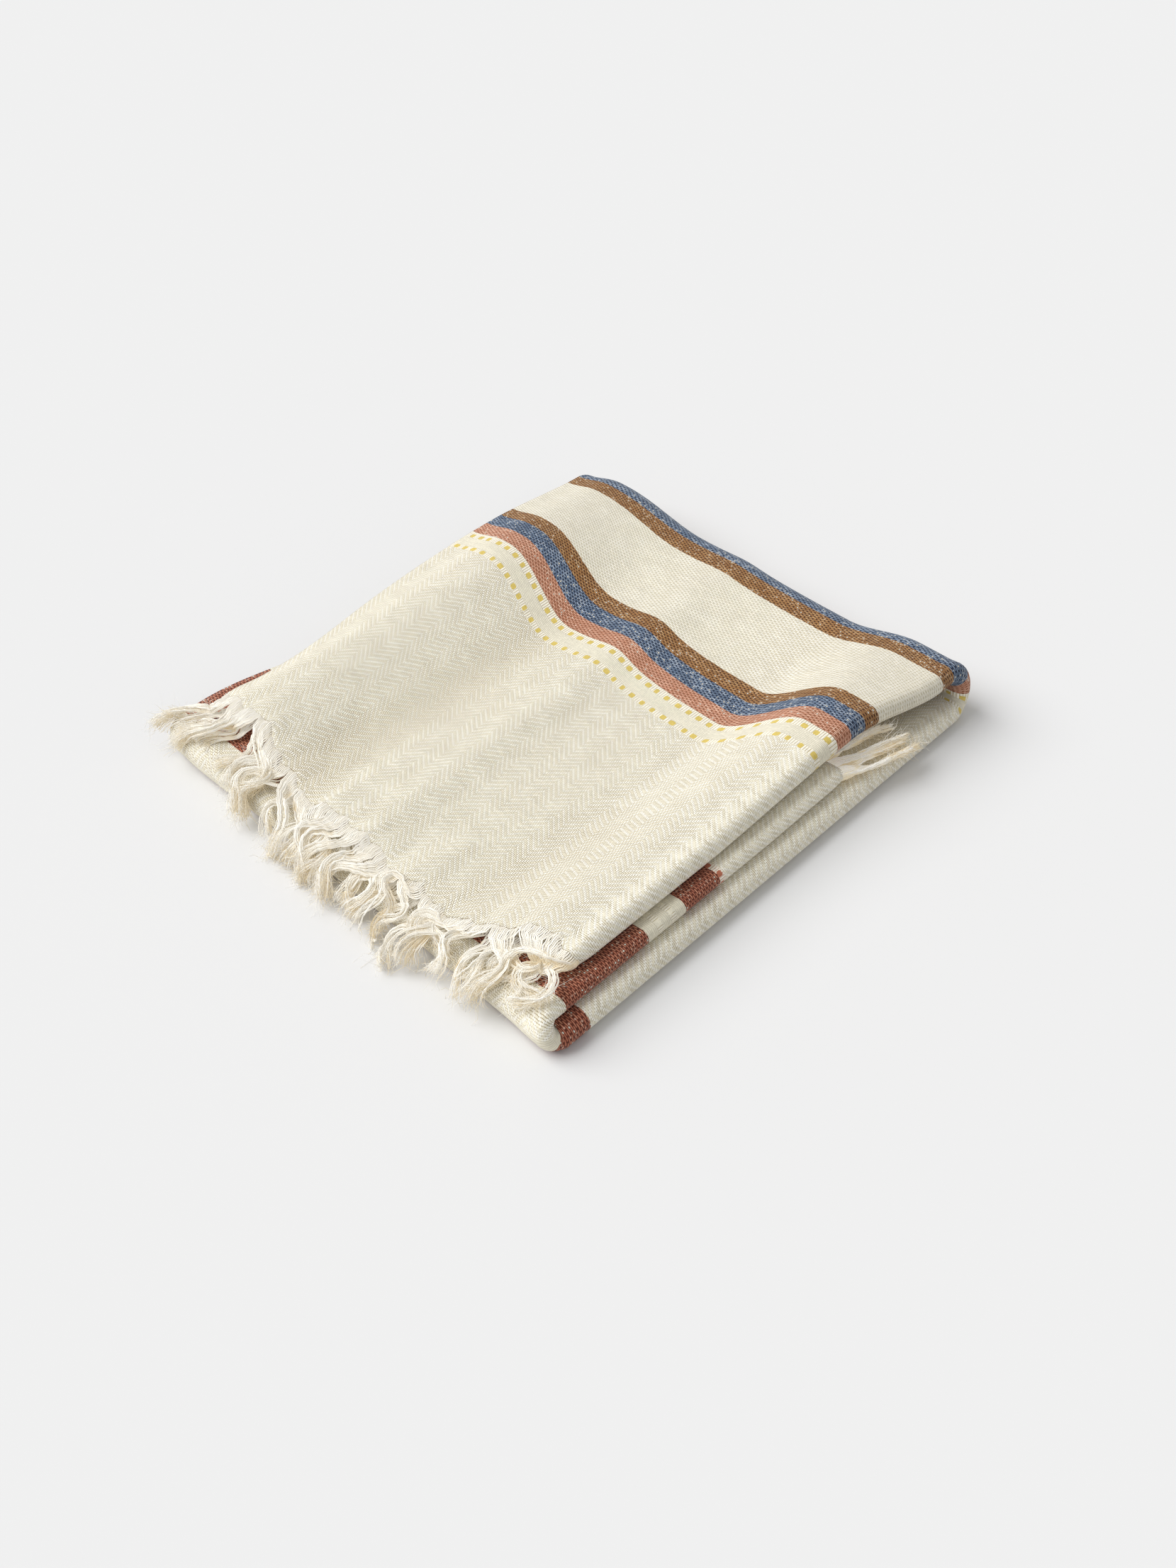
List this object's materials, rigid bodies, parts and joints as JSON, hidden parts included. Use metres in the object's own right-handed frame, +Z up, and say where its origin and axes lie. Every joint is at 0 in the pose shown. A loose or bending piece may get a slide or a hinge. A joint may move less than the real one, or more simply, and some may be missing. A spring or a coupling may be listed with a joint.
{
  "type": "folded guest towel",
  "caption": "Cotton guest towel with knotless fringed ends and coloured bands, folded in half along its length and then in three, lying flat.",
  "frame": {"origin": "middle of the footprint of the folded towel, on the surface it lies on", "axes": "+Z up, +Y from the front fringe to the back fold, +X towards the side where the cloth was folded in half"},
  "size_m": [0.2654, 0.313, 0.035],
  "materials": {
    "cloth": "matte woven cotton, natural herringbone with cream, brown, blue and pink bands",
    "fringe": "matte loose cotton yarn"
  },
  "bodies": {
    "root": {"cloth": "cloth", "front_fringe": "fringe", "tucked_fringe": "fringe"}
  },
  "joints": []
}
